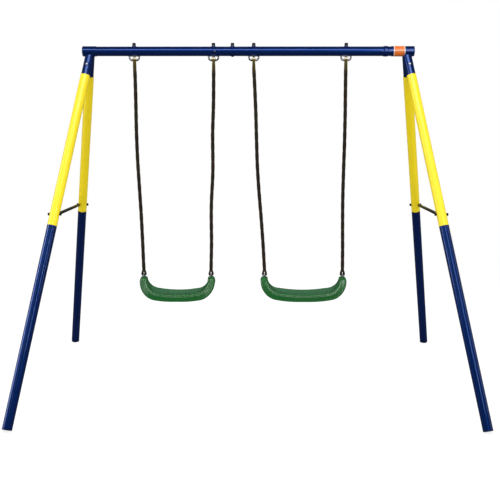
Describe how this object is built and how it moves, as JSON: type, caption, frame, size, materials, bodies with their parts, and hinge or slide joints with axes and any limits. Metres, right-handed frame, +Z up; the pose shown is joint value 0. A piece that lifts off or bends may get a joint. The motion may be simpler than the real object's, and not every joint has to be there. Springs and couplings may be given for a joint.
{
  "type": "swing set",
  "caption": "Free-standing A-frame garden swing set: a tubular steel beam on splayed tube legs with moulded sling seats hung on ropes from hinged stirrups.",
  "frame": {"origin": "on the ground, midway between the four feet, directly below the middle of the beam", "axes": "+X along the beam to the right, -Y to the front, +Z up"},
  "size_m": [2.3078, 1.426, 1.8221],
  "materials": {
    "navy_paint": "gloss powder coat",
    "yellow_paint": "gloss powder coat",
    "black_paint": "satin powder coat",
    "zinc_steel": "zinc plated",
    "black_plastic": "moulded",
    "navy_plastic": "moulded",
    "orange_film": "printed film",
    "rope_fibre": "laid rope",
    "cream_plastic": "flexible tube",
    "green_plastic": "moulded"
  },
  "bodies": {
    "frame": {"beam_left_tube": "navy_paint", "beam_right_tube": "navy_paint", "beam_end_plug_left": "navy_plastic", "beam_end_plug_right": "navy_plastic", "tee_left": "navy_paint", "tee_right": "navy_paint", "beam_band": "orange_film", "brace_left": "black_paint", "brace_right": "black_paint", "hanger_bolts": "zinc_steel", "beam_joint_bolt": "black_paint", "beam_collars": "navy_plastic", "beam_nuts": "zinc_steel", "nut_caps": "black_plastic", "socket_bolts": "zinc_steel", "socket_nuts": "zinc_steel", "brace_bolts": "black_paint", "brace_cap_nuts": "black_paint", "beam_screw": "zinc_steel", "hanger_stirrups": "zinc_steel", "upper_leg_front_left": "yellow_paint", "lower_leg_front_left": "navy_paint", "foot_plug_front_left": "black_plastic", "upper_leg_rear_left": "yellow_paint", "lower_leg_rear_left": "navy_paint", "foot_plug_rear_left": "black_plastic", "upper_leg_front_right": "yellow_paint", "lower_leg_front_right": "navy_paint", "foot_plug_front_right": "black_plastic", "upper_leg_rear_right": "yellow_paint", "lower_leg_rear_right": "navy_paint", "foot_plug_rear_right": "black_plastic"},
    "left_swing": {"left_swing_rope_left": "rope_fibre", "left_swing_rope_right": "rope_fibre", "left_swing_rope_sleeves": "cream_plastic"},
    "left_seat_body": {"left_seat": "green_plastic", "left_seat_eyes": "zinc_steel"},
    "right_swing": {"right_swing_rope_left": "rope_fibre", "right_swing_rope_right": "rope_fibre", "right_swing_rope_sleeves": "cream_plastic"},
    "right_seat_body": {"right_seat": "green_plastic", "right_seat_eyes": "zinc_steel"}
  },
  "joints": [
    {"name": "left_swing_hinge", "type": "hinge", "parent": "frame", "child": "left_swing", "pos_m": [-0.3835, 0, 1.7345], "axis": [1, 0, 0], "range_deg": [-60, 60]},
    {"name": "left_seat_tilt", "type": "hinge", "parent": "left_swing", "child": "left_seat_body", "pos_m": [-0.3855, 0, 0.599], "axis": [1, 0, 0], "range_deg": [-30, 30]},
    {"name": "right_swing_hinge", "type": "hinge", "parent": "frame", "child": "right_swing", "pos_m": [0.26625, 0, 1.7345], "axis": [1, 0, 0], "range_deg": [-60, 60]},
    {"name": "right_seat_tilt", "type": "hinge", "parent": "right_swing", "child": "right_seat_body", "pos_m": [0.29975, 0, 0.599], "axis": [1, 0, 0], "range_deg": [-30, 30]}
  ]
}
